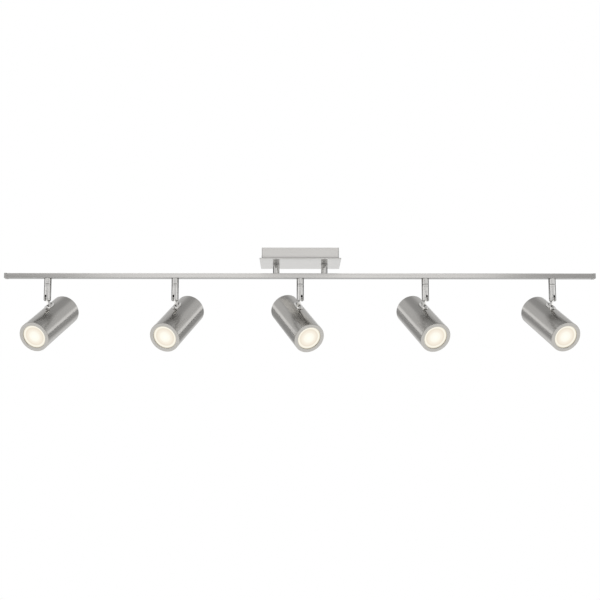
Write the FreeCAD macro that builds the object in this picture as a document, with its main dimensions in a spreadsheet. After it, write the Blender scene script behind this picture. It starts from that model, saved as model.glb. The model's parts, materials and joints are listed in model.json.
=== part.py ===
import FreeCAD, Part
import math
import os
import re
import Sketcher

# A ceiling track light: a canopy on the ceiling, a rail hung under it on two
# posts, and a row of cylindrical spotlights that swivel and tilt under the rail.
#
# Frame: millimetres, +Z up.  The origin is the middle of the canopy on the
# ceiling plane, +X runs along the rail, and the spotlights aim towards -Y.

SIZES = [
    # canopy and its fixing
    ("box_length", 147.5, "canopy box, along the rail"),
    ("box_width", 101.5, "canopy box, across the rail"),
    ("box_height", 20.6, "canopy box, from the ceiling to its floor's underside"),
    ("box_wall", 1.2, "canopy box sheet"),
    ("box_corner", 1.5, "canopy box corner radius"),
    ("plate_overhang", 4.2, "cover plate beyond the box on every side"),
    ("plate_thickness", 2.4, "cover plate"),
    ("plate_edge", 1, "radius on the cover plate's upper and lower edges"),
    ("bracket_width", 24, "ceiling bracket strip"),
    ("bracket_thickness", 2, "ceiling bracket strip"),
    ("bracket_gap", 0.4, "between the bracket's tabs and the box walls"),
    ("tab_height", 14, "bracket tabs, from the ceiling down"),
    ("slot_spacing", 79.5, "between the centres of the bracket's slots"),
    ("slot_length", 23, "bracket slots, end to end"),
    ("slot_width", 5, "bracket slots"),
    ("bracket_bore", 10.5, "hole in the middle of the bracket"),
    ("side_screw_drop", 9, "canopy screws below the ceiling"),
    ("side_screw_proud", 1.5, "canopy screws beyond the bracket's tabs"),
    # fasteners
    ("small_screw", 4, "shank of the canopy and earth screws"),
    ("small_head", 7, "head of the canopy and earth screws"),
    ("small_head_height", 1.7, "head of the canopy and earth screws"),
    ("spigot", 8, "thread on the posts and on the swivel nipples"),
    ("wireway", 5, "bore for the leads through posts and nipples"),
    ("nut_flats", 11, "thin nuts, across the flats"),
    ("nut_height", 2.2, "thin nuts"),
    ("thread_proud", 0.2, "thread end beyond its nut"),
    ("fit_gap", 0.05, "radial gap of a pin or thread in its hole"),
    ("head_rounding", 0.45, "screw heads' edge radius, as a share of their height"),
    ("driver_slot_width", 0.16, "screw slots, as a share of the head's diameter"),
    ("driver_slot_depth", 0.4, "screw slots, as a share of the head's height"),
    # posts and rail
    ("post_spacing", 93.8, "between the two posts"),
    ("post_diameter", 12.3, "posts"),
    ("post_length", 19.3, "from the cover plate to the rail"),
    ("rail_length", 1150, "rail, over its end caps"),
    ("rail_width", 15, "rail tube"),
    ("rail_height", 9.4, "rail tube"),
    ("rail_wall", 1, "rail tube"),
    ("rail_corner", 0.5, "rail tube edge radius"),
    ("cap_length", 5.5, "visible part of an end cap"),
    ("cap_proud", 0.3, "end cap beyond the rail's faces"),
    ("cap_plug", 8, "end cap's plug inside the rail"),
    ("cap_gap", 0.1, "end cap's plug in the rail"),
    # arms
    ("inner_arm_offset", 243.5, "from the middle to the next arm"),
    ("arm_margin", 83.9, "from the last arm to the rail's end"),
    ("arm_diameter", 13.8, "collars and swivel stems"),
    ("arm_drop", 39.1, "from the rail's underside to the tilt axis"),
    ("collar_length", 11.5, "fixed collars"),
    ("collar_gap", 0.3, "between a collar and its stem"),
    ("arm_edge", 0.4, "chamfer on the collars and stems"),
    ("stem_end_radius", 1.8, "radius round the stem's lower end"),
    ("stem_ring_drop", 3.6, "fine groove below the stem's top"),
    ("stem_ring_width", 0.5, "fine groove round the stem"),
    ("stem_ring_depth", 0.3, "fine groove round the stem"),
    ("nipple_reach", 13, "swivel nipple's length inside the stem"),
    ("nipple_room", 1, "between the nipple's end and the floor of its bore"),
    ("groove_width", 3.4, "groove round the nipple for the keeper screw"),
    ("groove_depth", 0.8, "groove round the nipple for the keeper screw"),
    ("groove_rise", 2, "from the nipple's end to its groove"),
    ("keeper_screw", 3, "headless screw that keeps the stem on its nipple"),
    ("keeper_gap", 0.3, "between the keeper screw and the groove"),
    ("keeper_inset", 0.5, "keeper screw's outer end inside the stem's side"),
    ("stem_below_axis", 4.9, "stem's end below the tilt axis"),
    ("fork_slot", 3.8, "slot in the stem's end"),
    ("fork_rise", 4.4, "slot's straight sides above the tilt axis"),
    ("pivot_screw", 3, "screw on the tilt axis"),
    ("pivot_head", 5, "head of the pivot screw"),
    ("pivot_head_height", 1.6, "head of the pivot screw"),
    ("pivot_inset", 0.7, "pivot screw's ends inside the stem's sides"),
    ("pivot_head_gap", 0.2, "round the pivot screw's head in its recess"),
    # knuckles
    ("link_thickness", 3.2, "knuckle's link"),
    ("link_radius", 4, "knuckle's link round the tilt axis"),
    ("axis_height", 16.9, "tilt axis above the barrel's side"),
    ("foot_length", 25.5, "knuckle's foot along the barrel"),
    ("foot_width", 13.6, "knuckle's foot across the barrel"),
    ("foot_thickness", 2.6, "knuckle's foot above the barrel's side"),
    ("foot_edge", 0.6, "radius on the foot's upper edge"),
    ("foot_depth", 2, "knuckle's foot below the crown of the barrel, along its sides"),
    ("foot_screw", 3, "shank of the screws through the foot"),
    ("foot_screw_head", 5, "head of the screws through the foot"),
    ("foot_screw_head_height", 1.5, "head of the screws through the foot"),
    ("foot_screw_length", 6, "screws through the foot, under the head"),
    ("foot_screw_spacing", 17, "between the two screws of a foot"),
    ("lead_hole", 4.6, "hole for the leads through the stem"),
    ("lead_spread", 8.4, "between the two lead holes in a foot"),
    ("lead_room", 0.6, "lead holes in the foot and barrel, beyond a lead"),
    # barrels
    ("barrel_diameter", 60, "spotlight barrel"),
    ("barrel_length", 130.6, "spotlight barrel with its front ring"),
    ("barrel_wall", 1, "spotlight barrel"),
    ("barrel_edge", 1.5, "radius round the barrel's rear edge"),
    ("foot_station", 52.2, "from the barrel's rear face to its foot"),
    ("vent_circle", 34, "circle of vent holes in the rear face"),
    ("vent_hole", 4, "vent holes"),
    ("vent_count", 8, "vent holes"),
    ("ring_opening", 46, "front ring"),
    ("ring_thickness", 2, "front ring's flange"),
    ("ring_bevel", 0.7, "radius on the front ring's edges"),
    ("ring_spigot_wall", 1.4, "front ring's spigot"),
    ("ring_gap", 0.1, "front ring's spigot in the barrel"),
    ("seat_thickness", 1.5, "lamp seat inside the barrel"),
    ("seat_reach", 1.5, "lamp seat in from the lamp's rim"),
    ("seat_gap", 0.2, "between the seat, the ring and the lamp's rim"),
    # lamps and holders
    ("lamp_diameter", 50, "lamp rim"),
    ("lamp_length", 46, "lamp from its rim's face to its base"),
    ("lamp_rim", 4.5, "depth of the lamp's rim"),
    ("lamp_rim_step", 2, "lamp's bowl in from its rim"),
    ("lamp_waist", 30, "lamp where its bowl meets its base"),
    ("lamp_base_length", 16, "lamp's straight base"),
    ("lamp_wall", 1.5, "lamp body"),
    ("lens_thickness", 2.2, "lamp lens"),
    ("lens_gap", 0.1, "lens in the lamp body"),
    ("pin_spacing", 10, "between the lamp's two contact pins"),
    ("pin_diameter", 3, "contact pins' stalks"),
    ("pin_head", 5, "contact pins' heads"),
    ("pin_length", 7.5, "contact pins"),
    ("pin_head_length", 2.5, "contact pins' heads"),
    ("pin_gap", 0.4, "contact pins in the holder"),
    ("holder_diameter", 27, "ceramic lamp holder"),
    ("holder_length", 17, "ceramic lamp holder"),
    ("holder_gap", 0.3, "between the holder and the lamp's base"),
    ("socket_room", 1, "sockets deeper than the lamp's pins"),
    ("holder_edge", 1, "chamfer on the lamp holder"),
    # wiring
    ("lead_diameter", 1.8, "insulated leads"),
    ("lead_pitch", 2.6, "between the live and neutral leads"),
    ("block_length", 20, "terminal block, along the leads"),
    ("block_width", 26, "terminal block, across the leads"),
    ("block_height", 10, "terminal block"),
    ("block_pitch", 8, "between the terminals"),
    ("block_entry", 3, "terminal entries"),
    ("block_entry_depth", 3, "terminal entries below the block's top"),
    ("block_offset", 27, "terminal block from the rail's line"),
    ("lead_bend", 3.6, "bend radius of the leads"),
    ("earth_offset", 40, "earth screw from the middle, along the rail"),
    ("lug_thickness", 0.8, "ring lug under the earth screw"),
    ("lug_diameter", 8.5, "ring lug under the earth screw"),
]

# Each arm's place along the rail, and the way its spotlight was left: its swivel
# from -Y towards +X and its tilt below the horizontal, both in degrees.
LAST_ARM = "(rail_length / 2 - arm_margin)"
AIMS = [
    ("arm_1", f"-{LAST_ARM}", -18.4, 30.6),
    ("arm_2", "-inner_arm_offset", -20.0, 31.7),
    ("arm_3", "0", 25.4, 33.3),
    ("arm_4", "inner_arm_offset", 19.4, 32.0),
    ("arm_5", LAST_ARM, 18.0, 30.5),
]
ARMS = [x for _, x, _, _ in AIMS]

PLATE_UNDERSIDE = "-(box_height + plate_thickness)"
RAIL_TOP = "-(box_height + plate_thickness + post_length)"
RAIL_CENTRE = f"({RAIL_TOP} - rail_height / 2)"
RAIL_UNDERSIDE = f"({RAIL_TOP} - rail_height)"
TILT_AXIS = f"({RAIL_UNDERSIDE} - arm_drop)"
BARREL_DROP = "(axis_height + barrel_diameter / 2)"
LAMP_FACE = "(barrel_length - ring_thickness - seat_gap)"
LAMP_BASE = f"({LAMP_FACE} - lamp_length)"
SEAT_TOP = f"({LAMP_FACE} - lamp_rim - seat_gap)"
NO_CHANGE = 1e-6

doc = FreeCAD.newDocument("track_light")
sheet = doc.addObject("Spreadsheet::Sheet", "Sizes")


def fill_sheet():
    """Write every driving size into the sheet, with its alias and what it is."""
    rows = list(SIZES)
    for arm, _, aim, tilt in AIMS:
        rows.append((f"{arm}_aim", aim, "swivel as left, degrees"))
        rows.append((f"{arm}_tilt", tilt, "tilt as left, degrees"))
    for row, (alias, value, meaning) in enumerate(rows, start=1):
        sheet.set(f"A{row}", meaning)
        sheet.set(f"B{row}", str(value))
        sheet.setAlias(f"B{row}", alias)
    doc.recompute()


def value(expression):
    """The number that an expression in the sheet's names gives now."""
    return float(sheet.evalExpression(expression))


def bind(thing, path, expression):
    """Tie one property to an expression in the sheet's names."""
    thing.setExpression(path, re.sub(r"[a-z][a-z_0-9]*\b(?!\()", r"Sizes.\g<0>", expression))


def place(thing, x="0", y="0", z="0", yaw="0", roll="0"):
    """Tie a thing's place, its turn about Z and its roll about its own X."""
    for path, expression in (("Base.x", x), ("Base.y", y), ("Base.z", z),
                             ("Rotation.Yaw", yaw), ("Rotation.Roll", roll)):
        if expression != "0":
            bind(thing, f"Placement.{path}", expression)
    return thing


# ---------------------------------------------------------------- sketches

def new_body(label):
    body = doc.addObject("PartDesign::Body", label)
    body.Label = label
    return body


def new_sketch(body, plane, lift=None):
    """An empty sketch on one of the body's own planes, lifted along its normal."""
    sketch = body.newObject("Sketcher::SketchObject", "sketch")
    support = next(feature for feature in body.Origin.OriginFeatures if feature.Role == plane)
    sketch.AttachmentSupport = [(support, "")]
    sketch.MapMode = "FlatFace"
    if lift:
        bind(sketch, "AttachmentOffset.Base.z", lift)
    return sketch


def pin_point(sketch, geometry, end, across, up):
    """Dimension a point from the sketch's origin."""
    for kind, expression in (("DistanceX", across), ("DistanceY", up)):
        constraint = Sketcher.Constraint(kind, -1, 1, geometry, end, value(expression))
        index = sketch.addConstraint(constraint)
        bind(sketch, f"Constraints[{index}]", expression)


def polygon(sketch, corners):
    """A closed outline through corners given as pairs of expressions."""
    spots = [FreeCAD.Vector(value(across), value(up), 0) for across, up in corners]
    first = sketch.GeometryCount
    count = len(corners)
    for i in range(count):
        sketch.addGeometry(Part.LineSegment(spots[i], spots[(i + 1) % count]), False)
    for i in range(count):
        joint = Sketcher.Constraint("Coincident", first + i, 2, first + (i + 1) % count, 1)
        sketch.addConstraint(joint)
        pin_point(sketch, first + i, 1, *corners[i])


def rectangle(sketch, left, right, low, high):
    polygon(sketch, [(left, low), (right, low), (right, high), (left, high)])


def circle(sketch, across, up, diameter):
    centre = FreeCAD.Vector(value(across), value(up), 0)
    index = sketch.GeometryCount
    sketch.addGeometry(Part.Circle(centre, FreeCAD.Vector(0, 0, 1), value(diameter) / 2), False)
    pin_point(sketch, index, 3, across, up)
    size = sketch.addConstraint(Sketcher.Constraint("Diameter", index, value(diameter)))
    bind(sketch, f"Constraints[{size}]", diameter)


def oblong(sketch, across, up, length, width, upright=False):
    """A round-ended slot about a centre, with its long axis across or up the sketch."""
    reach = f"(({length}) - ({width})) / 2"
    radius = value(width) / 2
    if upright:
        ends = [(across, f"({up}) + {reach}"), (across, f"({up}) - {reach}")]
        turn = 0
    else:
        ends = [(f"({across}) - {reach}", up), (f"({across}) + {reach}", up)]
        turn = 90
    first = sketch.GeometryCount
    centres = [FreeCAD.Vector(value(x), value(y), 0) for x, y in ends]
    rims = []
    for side, centre in enumerate(centres):
        start = math.radians(turn + 180 * side)
        rim = Part.ArcOfCircle(Part.Circle(centre, FreeCAD.Vector(0, 0, 1), radius),
                               start, start + math.pi)
        sketch.addGeometry(rim, False)
        rims.append(rim)
    sketch.addGeometry(Part.LineSegment(rims[0].EndPoint, rims[1].StartPoint), False)
    sketch.addGeometry(Part.LineSegment(rims[1].EndPoint, rims[0].StartPoint), False)
    for arc, end, line, start in ((0, 2, 2, 1), (1, 1, 2, 2), (1, 2, 3, 1), (0, 1, 3, 2)):
        tangent = Sketcher.Constraint("Tangent", first + arc, end, first + line, start)
        sketch.addConstraint(tangent)
    for side, (x, y) in enumerate(ends):
        pin_point(sketch, first + side, 3, x, y)
    size = sketch.addConstraint(Sketcher.Constraint("Radius", first, radius))
    bind(sketch, f"Constraints[{size}]", f"({width}) / 2")


# ---------------------------------------------------------------- features

def pad(body, sketch, length, reverse=False, both_sides=False):
    feature = body.newObject("PartDesign::Pad", "pad")
    feature.Profile = sketch
    feature.Reversed = reverse
    feature.Midplane = both_sides
    bind(feature, "Length", length)
    doc.recompute()
    return feature


def revolve(body, corners):
    """A turned solid about Z from its half profile, given as (radius, height) pairs."""
    sketch = new_sketch(body, "XZ_Plane")
    polygon(sketch, corners)
    feature = body.newObject("PartDesign::Revolution", "turned")
    feature.Profile = sketch
    feature.ReferenceAxis = (sketch, ["V_Axis"])
    feature.Angle = 360
    doc.recompute()
    return feature


def pocket(body, sketch, length=None, reverse=False, both_sides=False):
    """Cut a sketch into the body, through everything unless a depth is given."""
    before = body.Shape.Volume
    feature = body.newObject("PartDesign::Pocket", "cut")
    feature.Profile = sketch
    feature.Reversed = reverse
    feature.Midplane = both_sides
    if length:
        bind(feature, "Length", length)
    else:
        feature.Type = "ThroughAll"
    doc.recompute()
    if before - feature.Shape.Volume < before * NO_CHANGE:
        raise RuntimeError(f"a cut in {body.Label} removes nothing")
    return feature


def soften(body, kind, size, wanted):
    """Fillet or chamfer the edges of the body's tip that a test picks."""
    tip = body.Tip
    names = [f"Edge{i + 1}" for i, edge in enumerate(tip.Shape.Edges) if wanted(edge)]
    feature = body.newObject(f"PartDesign::{kind}", "edge")
    feature.Base = (tip, names)
    bind(feature, "Radius" if kind == "Fillet" else "Size", size)
    doc.recompute()
    return feature


def near(a, b):
    return abs(a - b) < 1e-4


def flat_at(edge, height):
    """True for an edge that lies wholly at one height."""
    box = edge.BoundBox
    return near(box.ZMin, height) and near(box.ZMax, height)


def upright_corner(edge, across, along):
    """True for a straight vertical edge at a corner of a rectangle about the middle."""
    middle = edge.CenterOfMass
    at_corner = near(abs(middle.x), across) and near(abs(middle.y), along)
    return at_corner and edge.BoundBox.ZLength > 0.5


def rim_at(edge, radius, height):
    """True for a full circle of this radius about Z at this height."""
    round_edge = isinstance(edge.Curve, Part.Circle)
    return round_edge and near(edge.Curve.Radius, radius) and flat_at(edge, height)


def group(label, pieces):
    """One node that holds several separate solids."""
    compound = doc.addObject("Part::Compound", label)
    compound.Label = label
    compound.Links = pieces
    return compound


# ---------------------------------------------------------------- fasteners

def pan_screw(label, shank, head, head_height, length):
    """A slotted screw along Z: the head's seat at zero, the shank below it."""
    body = new_body(label)
    revolve(body, [("0", f"-({length})"), (f"({shank}) / 2", f"-({length})"),
                   (f"({shank}) / 2", "0"), (f"({head}) / 2", "0"),
                   (f"({head}) / 2", head_height), ("0", head_height)])
    soften(body, "Fillet", f"({head_height}) * head_rounding",
           lambda edge: rim_at(edge, value(head) / 2, value(head_height)))
    slot = new_sketch(body, "XY_Plane", head_height)
    half_slot = f"({head}) * driver_slot_width / 2"
    rectangle(slot, f"-({head})", head, f"-{half_slot}", half_slot)
    pocket(body, slot, f"({head_height}) * driver_slot_depth")
    return body


def thin_nut(index, x, z):
    """A thin hexagon nut, its flats across the rail, its lower face at z."""
    blank = doc.addObject("Part::Prism", f"nut_blank_{index}")
    blank.Polygon = 6
    bind(blank, "Circumradius", "nut_flats / (2 * cos(30))")
    bind(blank, "Height", "nut_height")
    hole = doc.addObject("Part::Cylinder", f"nut_hole_{index}")
    bind(hole, "Radius", "spigot / 2 + fit_gap")
    bind(hole, "Height", "nut_height")
    nut = doc.addObject("Part::Cut", f"nut_{index}")
    nut.Base = blank
    nut.Tool = hole
    return place(nut, x=x, z=z)


def make_thin_nuts():
    posts = ["-post_spacing / 2", "post_spacing / 2"]
    floor = "-(box_height - box_wall)"
    seats = [(x, floor) for x in posts]
    seats += [(x, f"{RAIL_TOP} - rail_wall - nut_height") for x in posts]
    seats += [(x, f"{RAIL_UNDERSIDE} + rail_wall") for x in ARMS]
    nuts = [thin_nut(index, x, z) for index, (x, z) in enumerate(seats)]
    return group("thin_nuts", nuts)


# ---------------------------------------------------------------- canopy

def make_mounting_bracket():
    """A strip on the ceiling with slots for the junction box and two bent tabs."""
    body = new_body("mounting_bracket")
    half = "(box_length / 2 - box_wall - bracket_gap)"
    strip = new_sketch(body, "XY_Plane")
    rectangle(strip, f"-{half}", half, "-bracket_width / 2", "bracket_width / 2")
    pad(body, strip, "bracket_thickness", reverse=True)
    for side in ("", "-"):
        tab = new_sketch(body, "XY_Plane")
        rectangle(tab, f"{side}({half} - bracket_thickness)", f"{side}{half}",
                  "-bracket_width / 2", "bracket_width / 2")
        pad(body, tab, "tab_height", reverse=True)
    openings = new_sketch(body, "XY_Plane")
    for side in ("", "-"):
        oblong(openings, f"{side}slot_spacing / 2", "0", "slot_length", "slot_width")
    circle(openings, "0", "0", "bracket_bore")
    pocket(body, openings)
    threads = new_sketch(body, "YZ_Plane")
    circle(threads, "0", "-side_screw_drop", "small_screw + 2 * fit_gap")
    pocket(body, threads, both_sides=True)
    return body


def make_canopy_box():
    """An open tray with its mouth on the ceiling."""
    body = new_body("canopy_box")
    outside = new_sketch(body, "XY_Plane")
    rectangle(outside, "-box_length / 2", "box_length / 2", "-box_width / 2", "box_width / 2")
    pad(body, outside, "box_height", reverse=True)
    soften(body, "Fillet", "box_corner",
           lambda edge: upright_corner(edge, value("box_length") / 2, value("box_width") / 2))
    inside = new_sketch(body, "XY_Plane")
    rectangle(inside, "-(box_length / 2 - box_wall)", "box_length / 2 - box_wall",
              "-(box_width / 2 - box_wall)", "box_width / 2 - box_wall")
    pocket(body, inside, "box_height - box_wall")
    holes = new_sketch(body, "XY_Plane")
    for side in ("", "-"):
        circle(holes, f"{side}post_spacing / 2", "0", "spigot + 2 * fit_gap")
    circle(holes, "earth_offset", "block_offset", "small_screw + 2 * fit_gap")
    pocket(body, holes)
    sides = new_sketch(body, "YZ_Plane")
    circle(sides, "0", "-side_screw_drop", "small_screw + 2 * fit_gap")
    pocket(body, sides, both_sides=True)
    return body


def make_canopy_plate():
    """The cover plate under the box, a little larger than the box all round."""
    body = new_body("canopy_plate")
    outline = new_sketch(body, "XY_Plane")
    length = "(box_length / 2 + plate_overhang)"
    width = "(box_width / 2 + plate_overhang)"
    rectangle(outline, f"-{length}", length, f"-{width}", width)
    pad(body, outline, "plate_thickness")
    soften(body, "Fillet", "box_corner",
           lambda edge: upright_corner(edge, value(length), value(width)))
    faces = (0, value("plate_thickness"))
    soften(body, "Fillet", "plate_edge", lambda edge: any(flat_at(edge, z) for z in faces))
    holes = new_sketch(body, "XY_Plane", "plate_thickness")
    for side in ("", "-"):
        circle(holes, f"{side}post_spacing / 2", "0", "spigot + 2 * fit_gap")
    pocket(body, holes)
    return place(body, z=PLATE_UNDERSIDE)


def make_canopy_screws():
    """The two screws through the box's ends into the bracket's tabs."""
    screws = []
    for name, side, yaw in (("left", "-", "-90"), ("right", "", "90")):
        length = "box_wall + bracket_gap + bracket_thickness + side_screw_proud"
        screw = pan_screw(f"canopy_screw_{name}", "small_screw", "small_head",
                          "small_head_height", length)
        screws.append(place(screw, x=f"{side}box_length / 2", z="-side_screw_drop",
                            yaw=yaw, roll="90"))
    return group("canopy_screws", screws)


def make_earth_screw():
    """A screw in the box's floor that clamps the earth lead's ring lug."""
    screw = pan_screw("earth_screw_alone", "small_screw", "small_head", "small_head_height",
                      "box_wall + lug_thickness")
    place(screw, x="earth_offset", y="block_offset", z="-(box_height - box_wall) + lug_thickness")
    ring = doc.addObject("Part::Cylinder", "lug_blank")
    bind(ring, "Radius", "lug_diameter / 2")
    bind(ring, "Height", "lug_thickness")
    hole = doc.addObject("Part::Cylinder", "lug_hole")
    bind(hole, "Radius", "small_screw / 2 + fit_gap")
    bind(hole, "Height", "lug_thickness")
    lug = doc.addObject("Part::Cut", "ring_lug")
    lug.Base = ring
    lug.Tool = hole
    place(lug, x="earth_offset", y="block_offset", z="-(box_height - box_wall)")
    return group("earth_screw", [screw, lug])


def make_post(label, side):
    """A turned post, hollow for the leads, with a threaded spigot at each end."""
    body = new_body(label)
    top = "(plate_thickness + box_wall + nut_height + thread_proud)"
    low = "(post_length + rail_wall + nut_height + thread_proud)"
    revolve(body, [("wireway / 2", top), ("spigot / 2", top), ("spigot / 2", "0"),
                   ("post_diameter / 2", "0"), ("post_diameter / 2", "-post_length"),
                   ("spigot / 2", "-post_length"), ("spigot / 2", f"-{low}"),
                   ("wireway / 2", f"-{low}")])
    return place(body, x=f"{side}post_spacing / 2", z=PLATE_UNDERSIDE)


# ---------------------------------------------------------------- rail

def make_rail():
    """A rectangular tube with holes for the posts above and the arms below."""
    body = new_body("rail")
    section = new_sketch(body, "YZ_Plane")
    rectangle(section, "-rail_width / 2", "rail_width / 2", "-rail_height / 2", "rail_height / 2")
    pad(body, section, "rail_length - 2 * cap_length", both_sides=True)
    soften(body, "Fillet", "rail_corner", lambda edge: edge.BoundBox.XLength > 1)
    bore = new_sketch(body, "YZ_Plane")
    half_width = "(rail_width / 2 - rail_wall)"
    half_height = "(rail_height / 2 - rail_wall)"
    rectangle(bore, f"-{half_width}", half_width, f"-{half_height}", half_height)
    pocket(body, bore, both_sides=True)
    above = new_sketch(body, "XY_Plane")
    for side in ("", "-"):
        circle(above, f"{side}post_spacing / 2", "0", "spigot + 2 * fit_gap")
    pocket(body, above, reverse=True)
    below = new_sketch(body, "XY_Plane")
    for x in ARMS:
        circle(below, x, "0", "spigot + 2 * fit_gap")
    pocket(body, below)
    return place(body, z=RAIL_CENTRE)


def make_end_cap(label, side):
    """A moulded cap with a plug that pushes into the rail's end."""
    body = new_body(label)
    face = new_sketch(body, "YZ_Plane")
    half_width = "(rail_width / 2 + cap_proud)"
    half_height = "(rail_height / 2 + cap_proud)"
    rectangle(face, f"-{half_width}", half_width, f"-{half_height}", half_height)
    pad(body, face, "cap_length")
    soften(body, "Fillet", "rail_corner", lambda edge: edge.BoundBox.XMax > 0.1)
    plug = new_sketch(body, "YZ_Plane")
    half_width = "(rail_width / 2 - rail_wall - cap_gap)"
    half_height = "(rail_height / 2 - rail_wall - cap_gap)"
    rectangle(plug, f"-{half_width}", half_width, f"-{half_height}", half_height)
    pad(body, plug, "cap_plug", reverse=True)
    yaw = "180" if side else "0"
    return place(body, x=f"{side}(rail_length / 2 - cap_length)", z=RAIL_CENTRE, yaw=yaw)


# ---------------------------------------------------------------- arms

def make_collar(index, x):
    """A fixed collar between the rail and a swivel stem."""
    body = new_body(f"collar_{index}")
    radius = "arm_diameter / 2"
    bore = "(spigot / 2 + fit_gap)"
    revolve(body, [(bore, "0"), (radius, "0"), (radius, "-collar_length"),
                   (bore, "-collar_length")])
    low = value("-collar_length")
    soften(body, "Chamfer", "arm_edge", lambda edge: rim_at(edge, value(radius), low))
    return place(body, x=x, z=RAIL_UNDERSIDE)


def make_nipple(index, x):
    """The hollow threaded tube that a stem turns on, grooved for the keeper screw."""
    body = new_body(f"nipple_{index}")
    top = "(rail_wall + nut_height + thread_proud)"
    low = "-(collar_length + nipple_reach)"
    radius = "spigot / 2"
    waist = "(spigot / 2 - groove_depth)"
    revolve(body, [("wireway / 2", low), (radius, low), (radius, f"{low} + groove_rise"),
                   (waist, f"{low} + groove_rise"),
                   (waist, f"{low} + groove_rise + groove_width"),
                   (radius, f"{low} + groove_rise + groove_width"),
                   (radius, top), ("wireway / 2", top)])
    return place(body, x=x, z=RAIL_UNDERSIDE)


STEM_TOP = "(arm_drop - collar_length - collar_gap)"
NIPPLE_END = "(arm_drop - collar_length - nipple_reach)"
KEEPER_HEIGHT = f"({NIPPLE_END} + groove_rise + groove_width / 2)"


def make_stem(label, x, aim):
    """A round stem that turns on its nipple, with a fork slot across its lower end."""
    body = new_body(label)
    radius = "arm_diameter / 2"
    bore = "(spigot / 2 + fit_gap)"
    floor = f"({NIPPLE_END} - nipple_room)"
    ring = f"({STEM_TOP} - stem_ring_drop)"
    root = f"({radius} - stem_ring_depth)"
    revolve(body, [("lead_hole / 2", "-stem_below_axis"), (radius, "-stem_below_axis"),
                   (radius, f"{ring} - stem_ring_width"), (root, f"{ring} - stem_ring_width"),
                   (root, ring), (radius, ring),
                   (radius, STEM_TOP), (bore, STEM_TOP), (bore, floor),
                   ("lead_hole / 2", floor)])
    soften(body, "Chamfer", "arm_edge",
           lambda edge: rim_at(edge, value(radius), value(STEM_TOP)))
    soften(body, "Fillet", "stem_end_radius",
           lambda edge: rim_at(edge, value(radius), value("-stem_below_axis")))
    slot = new_sketch(body, "XZ_Plane")
    oblong(slot, "0", "fork_rise - 2 * stem_below_axis",
           "4 * stem_below_axis + fork_slot", "fork_slot", upright=True)
    pocket(body, slot, both_sides=True)
    pivot = new_sketch(body, "YZ_Plane")
    circle(pivot, "0", "0", "pivot_screw + 2 * fit_gap")
    pocket(body, pivot, both_sides=True)
    recess = new_sketch(body, "YZ_Plane", f"{radius} - pivot_inset - pivot_head_height")
    circle(recess, "0", "0", "pivot_head + 2 * pivot_head_gap")
    pocket(body, recess, reverse=True)
    keeper = new_sketch(body, "XZ_Plane")
    circle(keeper, "0", KEEPER_HEIGHT, "keeper_screw + 2 * fit_gap")
    pocket(body, keeper)
    return place(body, x=x, z=TILT_AXIS, yaw=aim)


def make_arm_screws(label, x, aim):
    """The pivot screw through the fork, and the headless keeper screw in the stem."""
    pivot = pan_screw(f"{label}_pivot", "pivot_screw", "pivot_head", "pivot_head_height",
                      "arm_diameter - 2 * pivot_inset - pivot_head_height")
    side = "(arm_diameter / 2 - pivot_inset - pivot_head_height)"
    place(pivot, x=f"{x} + {side} * cos({aim})", y=f"{side} * sin({aim})", z=TILT_AXIS,
          yaw=f"{aim} + 90", roll="90")
    keeper = doc.addObject("Part::Cylinder", f"{label}_keeper")
    inner = "(spigot / 2 - groove_depth + keeper_gap)"
    bind(keeper, "Radius", "keeper_screw / 2")
    bind(keeper, "Height", f"arm_diameter / 2 - keeper_inset - {inner}")
    place(keeper, x=f"{x} - {inner} * sin({aim})", y=f"{inner} * cos({aim})",
          z=f"{TILT_AXIS} + {KEEPER_HEIGHT}", yaw=aim, roll="-90")
    return group(label, [pivot, keeper])


# ---------------------------------------------------------------- spotlight heads

def place_on_axis(body, x, aim, tilt):
    """Place a piece whose origin is on the tilt axis."""
    return place(body, x=x, z=TILT_AXIS, yaw=aim, roll=tilt)


def place_on_barrel(body, x, aim, tilt):
    """Place a piece whose origin is the middle of the barrel's rear face, +Z forwards."""
    behind = f"(foot_station * cos({tilt}) + {BARREL_DROP} * sin({tilt}))"
    height = f"(foot_station * sin({tilt}) - {BARREL_DROP} * cos({tilt}))"
    return place(body, x=f"{x} - {behind} * sin({aim})", y=f"{behind} * cos({aim})",
                 z=f"{TILT_AXIS} + {height}", yaw=aim, roll=f"{tilt} + 90")


def make_knuckle(label):
    """A link from the fork to an oblong foot that sits on the barrel."""
    body = new_body(label)
    top = "(axis_height - foot_thickness)"
    foot = new_sketch(body, "XY_Plane", f"-{top}")
    oblong(foot, "0", "0", "foot_length", "foot_width", upright=True)
    pad(body, foot, "foot_thickness + foot_depth", reverse=True)
    soften(body, "Fillet", "foot_edge", lambda edge: flat_at(edge, -value(top)))
    link = new_sketch(body, "YZ_Plane")
    oblong(link, "0", "-axis_height / 2", "axis_height + 2 * link_radius", "2 * link_radius",
           upright=True)
    pad(body, link, "link_thickness", both_sides=True)
    saddle = new_sketch(body, "XZ_Plane")
    circle(saddle, "0", f"-{BARREL_DROP}", "barrel_diameter + 2 * fit_gap")
    pocket(body, saddle, both_sides=True)
    pivot = new_sketch(body, "YZ_Plane")
    circle(pivot, "0", "0", "pivot_screw + 2 * fit_gap")
    pocket(body, pivot, both_sides=True)
    screws = new_sketch(body, "XY_Plane")
    for side in ("", "-"):
        circle(screws, "0", f"{side}foot_screw_spacing / 2", "foot_screw + 2 * fit_gap")
        circle(screws, f"{side}lead_spread / 2", "0", "lead_diameter + lead_room")
    pocket(body, screws)
    return body


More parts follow.
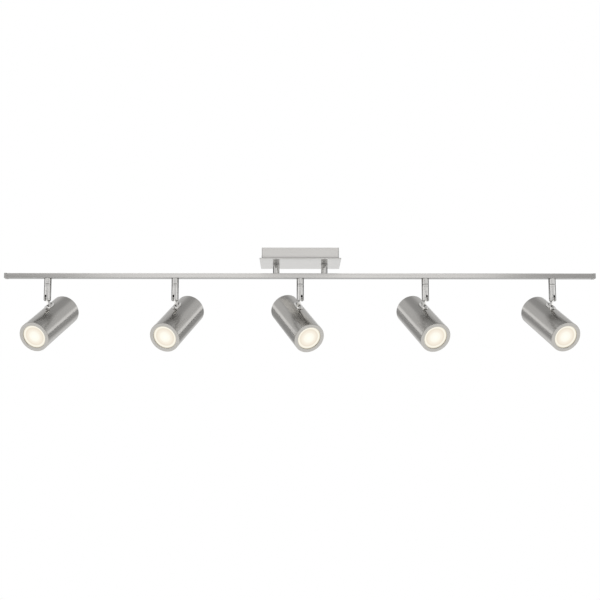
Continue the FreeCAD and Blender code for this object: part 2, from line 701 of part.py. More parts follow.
def make_knuckle_screws(label, x, aim, tilt):
    """The two screws that hold the foot on the barrel."""
    screws = []
    for name, side in (("front", "-"), ("rear", "")):
        screw = pan_screw(f"{label}_{name}", "foot_screw", "foot_screw_head",
                          "foot_screw_head_height", "foot_screw_length")
        along = f"{side}foot_screw_spacing / 2"
        drop = "(axis_height - foot_thickness)"
        behind = f"(({along}) * cos({tilt}) + {drop} * sin({tilt}))"
        height = f"(({along}) * sin({tilt}) - {drop} * cos({tilt}))"
        place(screw, x=f"{x} - {behind} * sin({aim})", y=f"{behind} * cos({aim})",
              z=f"{TILT_AXIS} + {height}", yaw=aim, roll=tilt)
        screws.append(screw)
    return group(label, screws)


def make_housing(label):
    """The barrel: a drawn tube with a closed rear, vent holes and a seat for the lamp."""
    body = new_body(label)
    outer = "barrel_diameter / 2"
    inner = "(barrel_diameter / 2 - barrel_wall)"
    mouth = "(barrel_length - ring_thickness)"
    seat_low = f"({SEAT_TOP} - seat_thickness)"
    seat = "(lamp_diameter / 2 - seat_reach)"
    revolve(body, [("0", "0"), (outer, "0"), (outer, mouth), (inner, mouth), (inner, SEAT_TOP),
                   (seat, SEAT_TOP), (seat, seat_low), (inner, seat_low),
                   (inner, "barrel_wall"), ("0", "barrel_wall")])
    soften(body, "Fillet", "min(barrel_edge; barrel_wall * 2)",
           lambda edge: rim_at(edge, value(outer), 0))
    vents = new_sketch(body, "XY_Plane")
    circle(vents, "vent_circle / 2", "0", "vent_hole")
    vent = pocket(body, vents, "barrel_wall", reverse=True)
    pattern = body.newObject("PartDesign::PolarPattern", "vents")
    pattern.Originals = [vent]
    pattern.Axis = (vents, ["N_Axis"])
    pattern.Angle = 360
    bind(pattern, "Occurrences", "vent_count")
    body.Tip = pattern
    doc.recompute()
    holes = new_sketch(body, "XZ_Plane")
    for side in ("+", "-"):
        circle(holes, "0", f"foot_station {side} foot_screw_spacing / 2",
               "foot_screw + 2 * fit_gap")
        circle(holes, f"{side}lead_spread / 2", "foot_station", "lead_diameter + lead_room")
    pocket(body, holes)
    return body


def make_front_ring(label):
    """The broad front ring, whose spigot fits inside the barrel."""
    body = new_body(label)
    spigot = "(barrel_diameter / 2 - barrel_wall - ring_gap)"
    bore = f"({spigot} - ring_spigot_wall)"
    mouth = "(barrel_length - ring_thickness)"
    end = f"({SEAT_TOP} + seat_gap)"
    outer = "barrel_diameter / 2"
    opening = "ring_opening / 2"
    revolve(body, [(bore, end), (spigot, end), (spigot, mouth), (outer, mouth),
                   (outer, "barrel_length"), (opening, "barrel_length"), (opening, mouth),
                   (bore, mouth)])
    front = value("barrel_length")
    soften(body, "Fillet", "ring_bevel",
           lambda edge: any(rim_at(edge, value(r), front) for r in (outer, opening)))
    return body


def make_lamp_body(label):
    """The lamp's bowl and base, with its two contact pins."""
    body = new_body(label)
    rim = "lamp_diameter / 2"
    waist = "lamp_waist / 2"
    bowl = f"({LAMP_BASE} + lamp_base_length)"
    back = f"({LAMP_FACE} - lamp_rim)"
    recess = f"({LAMP_FACE} - lens_thickness - lens_gap)"
    revolve(body, [("0", LAMP_BASE), (waist, LAMP_BASE), (waist, bowl), (f"{rim} - lamp_rim_step", back),
                   (rim, back), (rim, LAMP_FACE), (f"{rim} - lamp_wall", LAMP_FACE),
                   (f"{rim} - lamp_wall", recess), (f"{rim} - 2 * lamp_wall", recess),
                   (f"{waist} - lamp_wall", bowl), ("0", bowl)])
    head_plane = f"({LAMP_BASE} - pin_length + pin_head_length)"
    for length, diameter, start in (("pin_length", "pin_diameter", LAMP_BASE),
                                    ("pin_head_length", "pin_head", head_plane)):
        pins = new_sketch(body, "XY_Plane", start)
        for side in ("", "-"):
            circle(pins, f"{side}pin_spacing / 2", "0", diameter)
        pad(body, pins, length, reverse=True)
    return body


def make_lamp_lens(label):
    """The clear disc in the lamp's mouth."""
    body = new_body(label)
    radius = "(lamp_diameter / 2 - lamp_wall - lens_gap)"
    revolve(body, [("0", f"{LAMP_FACE} - lens_thickness"), (radius, f"{LAMP_FACE} - lens_thickness"),
                   (radius, LAMP_FACE), ("0", LAMP_FACE)])
    return body


def make_lamp_holder(label):
    """The ceramic holder with two pin sockets, and its pair of leads to the foot."""
    body = new_body(f"{label}_ceramic")
    face = f"({LAMP_BASE} - holder_gap)"
    rear = f"({face} - holder_length)"
    revolve(body, [("0", rear), ("holder_diameter / 2", rear), ("holder_diameter / 2", face),
                   ("0", face)])
    ends = (value(rear), value(face))
    soften(body, "Chamfer", "holder_edge",
           lambda edge: any(rim_at(edge, value("holder_diameter / 2"), end) for end in ends))
    sockets = new_sketch(body, "XY_Plane", face)
    for side in ("", "-"):
        circle(sockets, f"{side}pin_spacing / 2", "0", "pin_head + 2 * pin_gap")
    pocket(body, sockets, "pin_length + socket_room")
    station = value("foot_station")
    leads = doc.addObject("Part::Feature", f"{label}_leads")
    tubes = []
    for side in (-1, 1):
        across = side * value("pin_spacing / 2")
        route = [FreeCAD.Vector(across, 0, value(rear)), FreeCAD.Vector(across, 0, station),
                 FreeCAD.Vector(side * value("lead_spread / 2"),
                                value("barrel_diameter / 2 - barrel_wall"), station)]
        tubes.append(lead_tube(route, value("lead_bend")))
    leads.Shape = Part.makeCompound(tubes)
    return group(label, [body, leads])


def make_head(number, x, aim, tilt):
    """All the pieces that tilt together."""
    pieces = [place_on_axis(make_knuckle(f"knuckle_{number}"), x, aim, tilt)]
    pieces.append(make_knuckle_screws(f"knuckle_screws_{number}", x, aim, tilt))
    for name, maker in (("housing", make_housing), ("front_ring", make_front_ring),
                        ("lamp_holder", make_lamp_holder), ("lamp_body", make_lamp_body),
                        ("lamp_lens", make_lamp_lens)):
        pieces.append(place_on_barrel(maker(f"{name}_{number}"), x, aim, tilt))
    return pieces


# ---------------------------------------------------------------- wiring

def make_terminal_block():
    """Three terminals in a row on the floor of the box."""
    body = new_body("terminal_block")
    outline = new_sketch(body, "XY_Plane")
    rectangle(outline, "-block_length / 2", "block_length / 2", "-block_width / 2",
              "block_width / 2")
    pad(body, outline, "block_height")
    entries = new_sketch(body, "YZ_Plane")
    screws = new_sketch(body, "XY_Plane", "block_height")
    for row in ("-block_pitch", "0", "block_pitch"):
        circle(entries, row, "block_height - block_entry_depth", "block_entry")
        for side in ("", "-"):
            circle(screws, f"{side}block_length / 4", row, "block_entry")
    pocket(body, entries, both_sides=True)
    pocket(body, screws, "block_entry_depth / 2")
    return place(body, y="block_offset", z="-(box_height - box_wall)")


def lead_tube(points, bend):
    """A round lead along straight runs joined by tangent arcs of one radius."""
    edges = []
    start = points[0]
    for before, corner, after in zip(points, points[1:], points[2:]):
        into = (corner - before).normalize()
        away = (after - corner).normalize()
        inward = (away - into).normalize()
        half_turn = into.getAngle(away) / 2
        cut = bend * math.tan(half_turn)
        first = corner - into * cut
        last = corner + away * cut
        centre = corner + inward * (bend / math.cos(half_turn))
        edges.append(Part.LineSegment(start, first).toShape())
        edges.append(Part.Arc(first, centre - inward * bend, last).toShape())
        start = last
    edges.append(Part.LineSegment(start, points[-1]).toShape())
    path = Part.Wire(edges)
    heading = points[1] - points[0]
    section = Part.Wire(Part.makeCircle(value("lead_diameter / 2"), points[0], heading))
    return path.makePipeShell([section], True, False)


def make_rail_wiring():
    """Live and neutral leads from the terminal block to every arm, and the earth lead."""
    radius = value("lead_diameter / 2")
    centre = value(RAIL_CENTRE)
    reach = value(LAST_ARM)
    stem_end = value(f"{TILT_AXIS} + {NIPPLE_END}")
    post_x = -value("post_spacing / 2")
    block_x = -value("block_length / 2")
    block_y = value("block_offset")
    floor = -value("box_height - box_wall")
    block_z = floor + value("block_height - block_entry_depth")
    bend = value("lead_bend")
    conductors = []
    for side in (-1, 1):
        y = side * value("lead_pitch / 2")
        pair = FreeCAD.Vector(-reach, y, centre)
        solid = Part.makeCylinder(radius, 2 * reach, pair, FreeCAD.Vector(1, 0, 0))
        for x in ARMS:
            top = FreeCAD.Vector(value(x), y, centre)
            drop = Part.makeCylinder(radius, centre - stem_end, top, FreeCAD.Vector(0, 0, -1))
            solid = solid.fuse(drop)
        terminal = block_y + side * value("block_pitch")
        route = [FreeCAD.Vector(post_x, y, centre), FreeCAD.Vector(post_x, y, block_z),
                 FreeCAD.Vector((post_x + block_x) / 2, terminal, block_z),
                 FreeCAD.Vector(block_x, terminal, block_z)]
        conductors.append(solid.fuse(lead_tube(route, bend)))
    lug_x = value("earth_offset - lug_diameter / 2")
    route = [FreeCAD.Vector(-block_x, block_y, block_z),
             FreeCAD.Vector(lug_x - 2 * bend, block_y, block_z),
             FreeCAD.Vector(lug_x - radius, block_y, floor + radius)]
    conductors.append(lead_tube(route, bend))
    wiring = doc.addObject("Part::Feature", "rail_wiring")
    wiring.Label = "rail_wiring"
    wiring.Shape = Part.makeCompound(conductors)
    return wiring


# ---------------------------------------------------------------- the whole fixture

def make_everything():
    nodes = [make_mounting_bracket(), make_canopy_box(), make_canopy_plate(),
             make_canopy_screws(), make_earth_screw(), make_post("post_left", "-"),
             make_post("post_right", ""), make_thin_nuts(), make_rail(),
             make_end_cap("end_cap_left", "-"), make_end_cap("end_cap_right", "")]
    collars = [make_collar(number, arm[1]) for number, arm in enumerate(AIMS, start=1)]
    nipples = [make_nipple(number, arm[1]) for number, arm in enumerate(AIMS, start=1)]
    nodes.append(group("arm_collars", collars))
    nodes.append(group("swivel_nipples", nipples))
    nodes.append(make_terminal_block())
    nodes.append(make_rail_wiring())
    for number, (arm, x, _, _) in enumerate(AIMS, start=1):
        aim = f"{arm}_aim"
        tilt = f"{arm}_tilt"
        nodes.append(make_stem(f"swivel_stem_{number}", x, aim))
        nodes.append(make_arm_screws(f"arm_screws_{number}", x, aim))
        nodes += make_head(number, x, aim, tilt)
    return nodes


def check(nodes):
    """Stop if anything in the document failed or any node is not a sound solid."""
    failed = [item.Label for item in doc.Objects if {"Invalid", "Error"} & set(item.State)]
    if failed:
        raise RuntimeError(f"these failed to compute: {failed}")
    for node in nodes:
        shape = node.Shape
        if shape.isNull() or not shape.isValid() or not shape.Solids:
            raise RuntimeError(f"{node.Label} is not a valid solid")


fill_sheet()
nodes = make_everything()
doc.recompute()
check(nodes)
os.makedirs("parts", exist_ok=True)
for node in nodes:
    node.Shape.exportStep(f"parts/{node.Label}.step")
print(f"{len(nodes)} nodes written")
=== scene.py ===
import json
import math
from collections import namedtuple
import bmesh
import bpy
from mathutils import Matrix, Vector

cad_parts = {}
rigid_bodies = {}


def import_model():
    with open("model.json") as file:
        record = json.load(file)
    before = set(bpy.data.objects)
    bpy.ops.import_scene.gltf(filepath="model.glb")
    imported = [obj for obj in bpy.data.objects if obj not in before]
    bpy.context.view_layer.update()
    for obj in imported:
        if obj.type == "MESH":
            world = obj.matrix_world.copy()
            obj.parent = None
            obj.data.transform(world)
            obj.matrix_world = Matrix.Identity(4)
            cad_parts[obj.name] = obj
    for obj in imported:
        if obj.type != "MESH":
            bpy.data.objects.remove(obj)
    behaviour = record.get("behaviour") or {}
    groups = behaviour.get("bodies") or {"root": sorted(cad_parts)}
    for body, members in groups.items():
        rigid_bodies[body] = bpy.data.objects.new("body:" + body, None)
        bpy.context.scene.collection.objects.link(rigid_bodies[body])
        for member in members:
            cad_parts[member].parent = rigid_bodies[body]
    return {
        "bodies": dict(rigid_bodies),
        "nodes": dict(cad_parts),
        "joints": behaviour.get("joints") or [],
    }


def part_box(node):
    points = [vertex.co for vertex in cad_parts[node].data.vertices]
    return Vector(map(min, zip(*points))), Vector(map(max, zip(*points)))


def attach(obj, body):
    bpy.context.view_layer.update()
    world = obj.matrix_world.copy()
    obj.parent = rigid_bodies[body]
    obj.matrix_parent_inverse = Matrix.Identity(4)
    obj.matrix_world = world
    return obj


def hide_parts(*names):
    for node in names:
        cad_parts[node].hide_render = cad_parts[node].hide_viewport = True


# Looks for a ceiling track light.  Metres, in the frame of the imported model:
# the origin is on the ceiling plane, +X along the rail, and the camera's side is -Y.

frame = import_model()
scene = bpy.context.scene
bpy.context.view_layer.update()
HEADS = range(1, 1 + sum(name.startswith("spotlight_") for name in frame["bodies"]))

MM = 0.001
LENGTHWISE = Vector((1, 0, 0))

# Nearly all the values of a noise texture lie between these two.
NOISE_LOW = 0.3
NOISE_HIGH = 0.7

# The light of a lit lens from its middle to its rim: (share of its radius, colour).
LENS_GLOW = (
    (0.0, (1.0, 0.99, 0.92)),
    (0.36, (0.98, 0.96, 0.85)),
    (0.56, (0.92, 0.84, 0.72)),
    (0.76, (0.84, 0.75, 0.62)),
    (0.86, (0.99, 0.95, 0.84)),
    (0.95, (0.86, 0.8, 0.66)),
    (1.0, (0.42, 0.38, 0.3)),
)


# ---------------------------------------------------------------- the heads' directions

def joint(name):
    return next(item for item in frame["joints"] if item["name"] == name)


def head_frame(number):
    """The barrel's own axes and the middle of its lamp's face, at rest."""
    hinge = joint(f"tilt_{number}")
    across = Vector(hinge["axis"]).normalized()
    tilt = math.radians(-hinge["range_deg"][0])
    level = Vector((across.y, -across.x, 0))
    forward = level * math.cos(tilt) - Vector((0, 0, math.sin(tilt)))
    low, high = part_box(f"lamp_lens_{number}")
    return across, forward, (low + high) / 2


# ---------------------------------------------------------------- shader nodes

def grey(level):
    return (level, level, level)


def scaled(colour, factor):
    return tuple(min(1.0, factor * part) for part in colour)


class NodeTree:
    """Short ways to add nodes to a material or a world."""

    def __init__(self, owner):
        owner.use_nodes = True
        self.nodes = owner.node_tree.nodes
        self.links = owner.node_tree.links

    def add(self, kind, **settings):
        """A node. Its own settings are set first, and any other name is an input."""
        node = self.nodes.new("ShaderNode" + kind)
        for name, value in settings.items():
            if hasattr(node, name):
                setattr(node, name, value)
        for name, value in settings.items():
            if not hasattr(node, name):
                self.feed(node.inputs[name.replace("_", " ")], value)
        return node

    def feed(self, socket, value):
        if isinstance(value, bpy.types.NodeSocket):
            self.links.new(value, socket)
        else:
            socket.default_value = value

    def operate(self, kind, operation, *values):
        """The outputs of a Math or VectorMath node."""
        node = self.add(kind, operation=operation)
        for socket, value in zip(node.inputs, values):
            self.feed(socket, value)
        return node.outputs

    def calculate(self, operation, *values):
        return self.operate("Math", operation, *values)["Value"]

    def scale(self, vector, factor):
        node = self.add("VectorMath", operation="SCALE", Scale=factor)
        self.feed(node.inputs[0], vector)
        return node.outputs["Vector"]

    def remap(self, value, old, new):
        """A value moved from one range to another, and held inside it."""
        return self.add("MapRange", Value=value, From_Min=old[0], From_Max=old[1],
                        To_Min=new[0], To_Max=new[1]).outputs["Result"]

    def ramp(self, value, stops, interpolation="EASE"):
        """A colour for a value, from (position, colour) stops."""
        node = self.add("ValToRGB", Fac=value)
        elements = node.color_ramp.elements
        node.color_ramp.interpolation = interpolation
        while len(elements) < len(stops):
            elements.new(0.5)
        for element, (position, colour) in zip(elements, stops):
            element.position = position
            element.color = (*colour, 1)
        return node.outputs["Color"]

    def levels(self, value, stops):
        """A grey for a value, from (position, level) stops."""
        return self.ramp(value, [(position, grey(level)) for position, level in stops])

    def mix(self, share, first, second):
        """The first colour, turning into the second as the share goes from 0 to 1."""
        node = self.add("Mix", data_type="RGBA", Factor=share)
        sockets = {item.identifier: item for item in (*node.inputs, *node.outputs)}
        self.feed(sockets["A_Color"], first)
        self.feed(sockets["B_Color"], second)
        return sockets["Result_Color"]


class Shader(NodeTree):
    """A new Principled material."""

    def __init__(self, name, colour, metallic=0.0, roughness=0.5):
        self.material = bpy.data.materials.new(name)
        super().__init__(self.material)
        self.surface = self.nodes["Principled BSDF"]
        self.set(Base_Color=(*colour, 1), Metallic=metallic, Roughness=roughness)

    def set(self, **values):
        for name, value in values.items():
            self.feed(self.surface.inputs[name.replace("_", " ")], value)

    def place(self):
        """Positions that ride with the piece."""
        return self.add("TexCoord").outputs["Object"]

    def stretched(self, along, factor):
        """Positions squeezed along a direction, so that noise runs in lines that way."""
        place = self.place()
        direction = tuple(along)
        share = self.operate("VectorMath", "DOT_PRODUCT", place, direction)["Value"]
        squeeze = self.scale(self.scale(direction, share), 1 - factor)
        return self.operate("VectorMath", "SUBTRACT", place, squeeze)["Vector"]

    def noise(self, place, scale, detail=4.0, roughness=0.6):
        return self.add("TexNoise", Vector=place, Scale=scale, Detail=detail,
                        Roughness=roughness).outputs["Fac"]

    def roughen(self, value, low, high):
        """Roughness that follows a noise value between two levels."""
        self.set(Roughness=self.remap(value, (NOISE_LOW, NOISE_HIGH), (low, high)))

    def tint(self, value, dark, light):
        """Colour that follows a noise value."""
        stops = ((NOISE_LOW, dark), (NOISE_HIGH, light))
        self.set(Base_Color=self.ramp(value, stops, "LINEAR"))

    def shade_crevices(self, reach, floor):
        """Painted shade: darken the colour, down to a share of it, where other surfaces
        stand close by.
        """
        closed, wide_open = 0.25, 0.9
        openness = self.add("AmbientOcclusion", samples=8, Distance=reach).outputs["AO"]
        self.darken(self.remap(openness, (closed, wide_open), (floor, 1.0)))

    def shade_underside(self, level):
        """Painted shade: darken the colour, down to a share of it, on the faces that look
        down.
        """
        straight_down, nearly_level = -0.95, -0.2
        normal = self.add("TexCoord").outputs["Normal"]
        rise = self.add("SeparateXYZ", Vector=normal).outputs["Z"]
        self.darken(self.remap(rise, (straight_down, nearly_level), (level, 1.0)))

    def darken(self, share):
        """Scale the colour that there is by a share."""
        colour = self.surface.inputs["Base Color"].links[0].from_socket
        self.set(Base_Color=self.scale(colour, share))

    def bump(self, height, depth, strength=1.0):
        node = self.add("Bump", Height=height, Strength=strength, Distance=depth)
        self.set(Normal=node.outputs["Normal"])


# ---------------------------------------------------------------- kinds of material

def brushed_nickel(name, along, colour, roughness, reach):
    """Satin nickel with brush lines along a direction, some fine and some broad."""
    shader = Shader(name, colour, metallic=1.0, roughness=roughness)
    grain = shader.stretched(along, factor=0.012)
    fine = shader.noise(grain, scale=1300.0, detail=1.5)
    broad = shader.noise(grain, scale=260.0, detail=2.0)
    shader.roughen(broad, roughness - 0.03, roughness + 0.04)
    half_fine = shader.calculate("MULTIPLY", fine, 0.5)
    half_broad = shader.calculate("MULTIPLY", broad, 0.5)
    lines = shader.calculate("ADD", half_fine, half_broad)
    shader.tint(lines, scaled(colour, 0.95), scaled(colour, 1.05))
    # Painted shade: darker where other parts stand within the reach, and a dark painted
    # contact line where they stand within 4 mm.
    shader.shade_crevices(reach, floor=0.45)
    shader.shade_crevices(reach=4 * MM, floor=0.12)
    shader.bump(fine, depth=0.002 * MM, strength=0.12)
    return shader


def polished_nickel(name, colour, edge=0.5, crevice_shade=0.3):
    """Bright nickel plate with faint wipe marks; edge tints what it mirrors at grazing."""
    shader = Shader(name, colour, metallic=1.0, roughness=0.08)
    shader.set(Specular_Tint=(*grey(edge), 1))
    smears = shader.noise(shader.place(), scale=160.0, detail=5.0)
    shader.roughen(smears, 0.05, 0.13)
    shader.tint(smears, scaled(colour, 0.96), colour)
    # Painted shade, down to the given share, where other parts stand within 5 mm.
    shader.shade_crevices(reach=5 * MM, floor=crevice_shade)
    shader.bump(shader.noise(shader.place(), scale=420.0), depth=0.004 * MM)
    return shader


def plated_steel():
    """Dull zinc plate with a faint spangle."""
    shader = Shader("zinc_plated_steel", (0.62, 0.63, 0.62), metallic=1.0, roughness=0.42)
    cells = shader.add("TexVoronoi", Vector=shader.place(), Scale=420.0)
    spangle = cells.outputs["Distance"]
    shader.roughen(spangle, 0.36, 0.5)
    shader.tint(spangle, (0.56, 0.57, 0.56), (0.68, 0.69, 0.68))
    shader.bump(spangle, depth=0.01 * MM)
    return shader


def brass():
    """Yellow brass, worn unevenly."""
    shader = Shader("brass", (0.72, 0.56, 0.28), metallic=1.0, roughness=0.3)
    wear = shader.noise(shader.place(), scale=900.0)
    shader.tint(wear, (0.62, 0.46, 0.22), (0.76, 0.6, 0.31))
    shader.roughen(wear, 0.25, 0.42)
    return shader


def moulded(name, colour, roughness, grain=1400.0):
    """Moulded plastic, ceramic or rubber: a fine skin texture and slight mottling."""
    shader = Shader(name, colour, roughness=roughness)
    skin = shader.noise(shader.place(), grain, detail=3.0)
    mottle = shader.noise(shader.place(), scale=60.0)
    shader.tint(mottle, scaled(colour, 0.95), colour)
    shader.roughen(skin, roughness - 0.05, roughness + 0.08)
    shader.bump(skin, depth=0.02 * MM)
    return shader


def lit_lens():
    """A lit lamp's lens: near white in the middle, warmer outside, with a bright ring."""
    shader = Shader("lit_lens", (0.1, 0.1, 0.09), roughness=0.3)
    uv = shader.add("TexCoord").outputs["UV"]
    radius = shader.add("SeparateXYZ", Vector=uv).outputs["X"]
    shader.set(Emission_Color=shader.ramp(radius, LENS_GLOW), Emission_Strength=0.9)
    return shader


# ---------------------------------------------------------------- materials on the nodes

def paint(shader, *nodes):
    """Give CAD nodes one material in all of their slots."""
    for node in nodes:
        slots = frame["nodes"][node].material_slots
        for slot in slots:
            slot.material = shader.material
        if not slots:
            frame["nodes"][node].data.materials.append(shader.material)


def paint_rail():
    # Painted shade: the rail darkens where other parts stand within 130 mm, which paints
    # the canopy's shadow on it, and on its faces that look down.
    nickel = brushed_nickel("rail_nickel", LENGTHWISE, (0.72, 0.705, 0.685),
                            roughness=0.12, reach=130 * MM)
    nickel.shade_underside(level=0.28)
    paint(nickel, "rail")
    caps = moulded("end_cap_plastic", (0.42, 0.41, 0.4), roughness=0.4)
    paint(caps, "end_cap_left", "end_cap_right")


def paint_canopy():
    # Painted shade darkens the box and plate within 6 mm of other parts, as a shadow line
    # where they meet, and the posts within 5 mm.
    box = brushed_nickel("box_nickel", LENGTHWISE, (0.69, 0.675, 0.655),
                         roughness=0.16, reach=6 * MM)
    plate = brushed_nickel("plate_nickel", LENGTHWISE, (0.605, 0.595, 0.58),
                           roughness=0.16, reach=6 * MM)
    post = polished_nickel("post_nickel", (0.77, 0.76, 0.74), edge=0.0)
    paint(box, "canopy_box")
    paint(plate, "canopy_plate")
    paint(post, "post_left", "post_right")


def paint_hardware():
    """What holds the fixture up, holds it together and feeds it."""
    paint(plated_steel(), "mounting_bracket", "thin_nuts", "swivel_nipples")
    paint(brass(), "earth_screw")
    terminal = moulded("terminal_plastic", (0.84, 0.83, 0.8), roughness=0.45)
    insulation = moulded("lead_insulation", (0.8, 0.79, 0.76), roughness=0.55)
    paint(terminal, "terminal_block")
    paint(insulation, "rail_wiring")


def paint_arms():
    # Painted shade darkens the stems, knuckles and screws within 5 mm of other parts, such
    # as in the slots of the stems.
    stems = polished_nickel("polished_nickel", (0.80, 0.79, 0.77), edge=0.0)
    # The knuckles are a lighter copy of the polished nickel with less painted shade, a
    # painted highlight that makes their feet stand out light on the barrels.
    knuckles = polished_nickel("knuckle_nickel", (1.0, 0.99, 0.97), edge=1.0, crevice_shade=0.7)
    screws = polished_nickel("bright_screws", (0.9, 0.89, 0.87))
    paint(stems, "arm_collars", *(f"swivel_stem_{number}" for number in HEADS))
    paint(knuckles, *(f"knuckle_{number}" for number in HEADS))
    paint(screws, "canopy_screws", *(f"arm_screws_{number}" for number in HEADS),
          *(f"knuckle_screws_{number}" for number in HEADS))


def paint_barrel(number):
    """Brush lines run along the barrel, and across its front ring."""
    across, forward, _ = head_frame(number)
    # Painted shade darkens the barrel where the knuckle and other parts stand within 24 mm,
    # and the ring where they stand within 1.5 mm.
    barrel = brushed_nickel(f"barrel_nickel_{number}", forward, (0.635, 0.62, 0.595),
                            roughness=0.21, reach=24 * MM)
    ring = brushed_nickel(f"ring_nickel_{number}", across, (0.55, 0.535, 0.51),
                          roughness=0.36, reach=1.5 * MM)
    paint(barrel, f"housing_{number}")
    paint(ring, f"front_ring_{number}")


def paint_lamps():
    white = moulded("lamp_body_white", (0.86, 0.86, 0.84), roughness=0.35)
    ceramic = moulded("glazed_ceramic", (0.88, 0.86, 0.81), roughness=0.22, grain=700.0)
    paint(white, *(f"lamp_body_{number}" for number in HEADS))
    paint(ceramic, *(f"lamp_holder_{number}" for number in HEADS))


# ---------------------------------------------------------------- lenses

def turned_rings(build, profile, segments, centre, forward, across):
    """A ring of vertices for each (radius, height) pair; a radius of 0 is one vertex."""
    up = forward.cross(across)
    rings = []
    for radius, height in profile:
        middle = centre + forward * height
        if radius == 0:
            rings.append([build.verts.new(middle)] * segments)
            continue
        angles = (2 * math.pi * step / segments for step in range(segments))
        sides = (across * math.cos(angle) + up * math.sin(angle) for angle in angles)
        rings.append([build.verts.new(middle + side * radius) for side in sides])
    return rings


def turned(name, profile, segments, centre, forward, across):
    """A mesh turned about an axis from (radius, height) pairs; U runs with the radius."""
    mesh = bpy.data.meshes.new(name)
    build = bmesh.new()
    uv = build.loops.layers.uv.new("face")
    widest = max(radius for radius, _ in profile)
    rings = turned_rings(build, profile, segments, centre, forward, across)
    bands = zip(rings, rings[1:], profile, profile[1:])
    for first, second, (near, _), (far, _) in bands:
        for step in range(segments):
            turn = (step + 1) % segments
            reach = {first[step]: near, second[step]: far,
                     second[turn]: far, first[turn]: near}
            face = build.faces.new(reach)
            face.smooth = True
            for loop in face.loops:
                loop[uv].uv = (reach[loop.vert] / widest, step / segments)
    bmesh.ops.recalc_face_normals(build, faces=build.faces)
    build.to_mesh(mesh)
    build.free()
    piece = bpy.data.objects.new(name, mesh)
    scene.collection.objects.link(piece)
    return piece


def lens_profile(radius, half):
    """From the back's middle round the rolled rim to a step and the domed front."""
    return [(0, -half), (radius, -half), (radius, half - 0.5 * MM),
            (radius - 0.2 * MM, half - 0.15 * MM), (radius - 0.6 * MM, half),
            (radius * 0.9, half), (radius * 0.87, half - 0.5 * MM),
            (radius * 0.8, half - 0.6 * MM), (radius * 0.6, half - 0.35 * MM),
            (radius * 0.4, half - 0.15 * MM), (radius * 0.2, half - 0.03 * MM), (0, half)]


def add_lens(number, glass):
    """A lens with a raised middle, a step and a rolled rim, in place of the plain disc."""
    across, forward, middle = head_frame(number)
    profile = lens_profile(radius=23.3 * MM, half=1.1 * MM)
    lens = turned(f"lens_{number}", profile, 96, middle, forward, across)
    lens.data.materials.append(glass.material)
    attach(lens, f"spotlight_{number}")
    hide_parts(f"lamp_lens_{number}")


# ---------------------------------------------------------------- camera and floor

def aim(item, direction):
    """Turn a camera or a light, which look along their own -Z, to face a direction."""
    item.rotation_mode = "QUATERNION"
    item.rotation_quaternion = direction.to_track_quat("-Z", "Y")


def make_camera():
    """In front of the rail and a little below it, looking up at its middle."""
    target = Vector((-0.0005, 0, -0.0938))
    azimuth = math.radians(-0.3)
    elevation = math.radians(-8.4)
    distance = 2.177
    back = Vector((math.sin(azimuth) * math.cos(elevation),
                   -math.cos(azimuth) * math.cos(elevation), math.sin(elevation)))
    camera = bpy.data.objects.new("camera", bpy.data.cameras.new("camera"))
    camera.data.lens = 67.2
    camera.data.sensor_width = 36
    camera.location = target + back * distance
    aim(camera, -back)
    scene.collection.objects.link(camera)
    scene.camera = camera


def floor_paint():
    """Pale and faintly clouded, lit a little from within."""
    shader = Shader("pale_floor", (0.9, 0.9, 0.89), roughness=0.8)
    clouds = shader.noise(shader.place(), scale=0.8)
    shader.tint(clouds, (0.88, 0.88, 0.87), (0.9, 0.9, 0.89))
    shader.set(Emission_Color=(1, 1, 0.99, 1), Emission_Strength=0.45)
    return shader


def make_floor():
    """A round floor, a room's height below the ceiling."""
    room_height = 2.4
    mesh = bpy.data.meshes.new("floor")
    build = bmesh.new()
    bmesh.ops.create_circle(build, cap_ends=True, segments=96, radius=12)
    build.to_mesh(mesh)
    build.free()
    mesh.materials.append(floor_paint().material)
    floor = bpy.data.objects.new("floor", mesh)
    floor.location.z = -room_height
    scene.collection.objects.link(floor)


# ---------------------------------------------------------------- studio

# The metal mirrors a studio of soft boxes and flags.  A way round is 0 from the camera's
# side and 1 from behind the fixture; a height is 0 straight down, 0.5 level and 1 straight
# up.  Stops are (way round or height, level).

OVERHEAD = ((0.0, 0.95), (0.44, 0.95), (0.49, 0.32), (0.53, 0.34), (0.57, 0.95),
            (0.615, 0.95), (0.635, 0.58), (0.77, 0.58), (0.86, 0.36), (1.0, 0.26))

NEAR_SIDE = ((0.0, 1.0), (0.5, 1.0), (0.62, 0.0))

Strip = namedtuple("Strip", "tones round height")

BACK_WALL = Strip(
    tones=((0.0, 0.72), (1.0, 0.72)),
    round=((0.0, 0.0), (0.83, 0.0), (0.95, 1.0)),
    height=((0.0, 0.0), (0.47, 0.0), (0.48, 1.0), (0.53, 1.0), (0.58, 0.0)))

LOW_FLAG = Strip(
    tones=((0.0, 0.03), (0.3, 0.03), (0.42, 0.45)),
    round=((0.0, 1.0), (0.4, 1.0), (0.48, 0.0)),
    height=((0.0, 0.0), (0.37, 0.0), (0.44, 1.0), (0.535, 1.0), (0.54, 0.0)))

RAIL_PANEL = Strip(
    tones=((0.0, 1.0), (0.052, 1.0), (0.065, 0.2), (0.074, 0.1), (0.083, 0.28),
           (0.11, 0.45), (0.16, 1.0), (0.5, 1.0), (0.6, 0.6)),
    round=NEAR_SIDE,
    height=((0.0, 0.0), (0.541, 0.0), (0.545, 1.0), (0.57, 1.0), (0.61, 0.0)))

POST_PANEL = Strip(
    tones=((0.0, 0.95), (0.054, 0.95), (0.11, 0.45), (0.2, 0.45), (0.3, 0.7), (0.5, 0.5)),
    round=NEAR_SIDE,
    height=((0.0, 0.0), (0.5525, 0.0), (0.555, 1.0), (0.57, 1.0), (0.61, 0.0)))

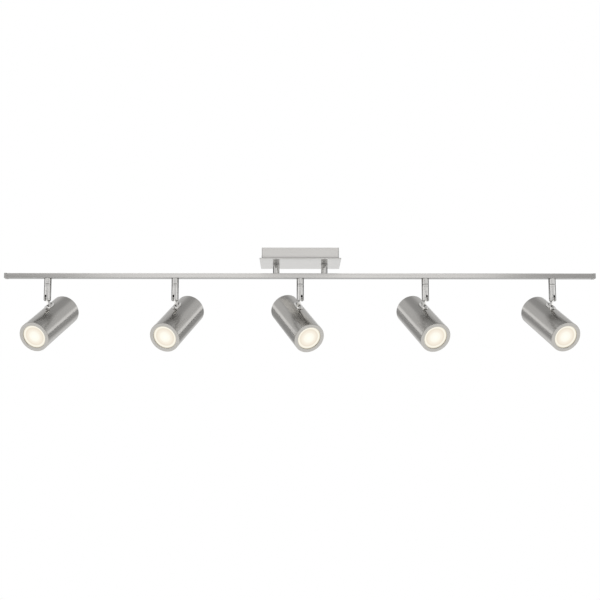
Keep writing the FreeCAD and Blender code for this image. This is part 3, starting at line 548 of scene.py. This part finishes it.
SIDE_FLAG = Strip(
    tones=((0.0, 0.08), (1.0, 0.08)),
    round=((0.0, 0.0), (0.44, 0.0), (0.53, 1.0), (0.78, 1.0), (0.88, 0.0)),
    height=((0.0, 0.0), (0.5485, 0.0), (0.5505, 1.0), (0.561, 1.0), (0.564, 0.0)))


def ways(tree):
    """The way round and the height of each direction."""
    direction = tree.add("TexCoord").outputs["Generated"]
    x, y, z = tree.add("SeparateXYZ", Vector=direction).outputs
    toward = tree.calculate("MULTIPLY", y, -1.0)
    turn = tree.calculate("ABSOLUTE", tree.calculate("ARCTAN2", x, toward))
    rise = tree.calculate("DIVIDE", tree.calculate("ARCSINE", z), math.pi / 2)
    height = tree.calculate("ADD", tree.calculate("MULTIPLY", rise, 0.5), 0.5)
    return tree.calculate("DIVIDE", turn, math.pi), height


def studio_tones(tree):
    """The strips laid one over another, each faded at its ends and edges."""
    way_round, height = ways(tree)
    tone = tree.levels(height, OVERHEAD)
    for strip in (BACK_WALL, LOW_FLAG, RAIL_PANEL, POST_PANEL, SIDE_FLAG):
        across = tree.levels(way_round, strip.round)
        share = tree.calculate("MULTIPLY", across, tree.levels(height, strip.height))
        tone = tree.mix(share, tone, tree.levels(way_round, strip.tones))
    return tone


def make_surroundings():
    """White where the camera sees past the fixture, and the studio in its reflections."""
    world = bpy.data.worlds.new("studio")
    tree = NodeTree(world)
    tree.nodes.clear()
    studio = tree.add("Background", Color=studio_tones(tree))
    white = tree.add("Background", Color=(*grey(1.0), 1))
    seen = tree.add("LightPath").outputs["Is Camera Ray"]
    choose = tree.add("MixShader", Fac=seen)
    tree.feed(choose.inputs[1], studio.outputs[0])
    tree.feed(choose.inputs[2], white.outputs[0])
    tree.add("OutputWorld", Surface=choose.outputs[0])
    scene.world = world


def make_key_light():
    """A soft overhead panel in front of the fixture."""
    panel = bpy.data.lights.new("soft_panel", "AREA")
    panel.shape = "RECTANGLE"
    panel.size = 2.4
    panel.size_y = 1.2
    panel.energy = 14
    light = bpy.data.objects.new("soft_panel", panel)
    light.location = (-0.6, -1.8, 1.4)
    aim(light, -light.location)
    scene.collection.objects.link(light)


# ---------------------------------------------------------------- everything together

def paint_everything():
    paint_rail()
    paint_canopy()
    paint_hardware()
    paint_arms()
    paint_lamps()
    for number in HEADS:
        paint_barrel(number)


def add_lenses():
    glass = lit_lens()
    for number in HEADS:
        add_lens(number, glass)


make_camera()
paint_everything()
add_lenses()
make_floor()
make_surroundings()
make_key_light()
scene.view_settings.view_transform = "Standard"
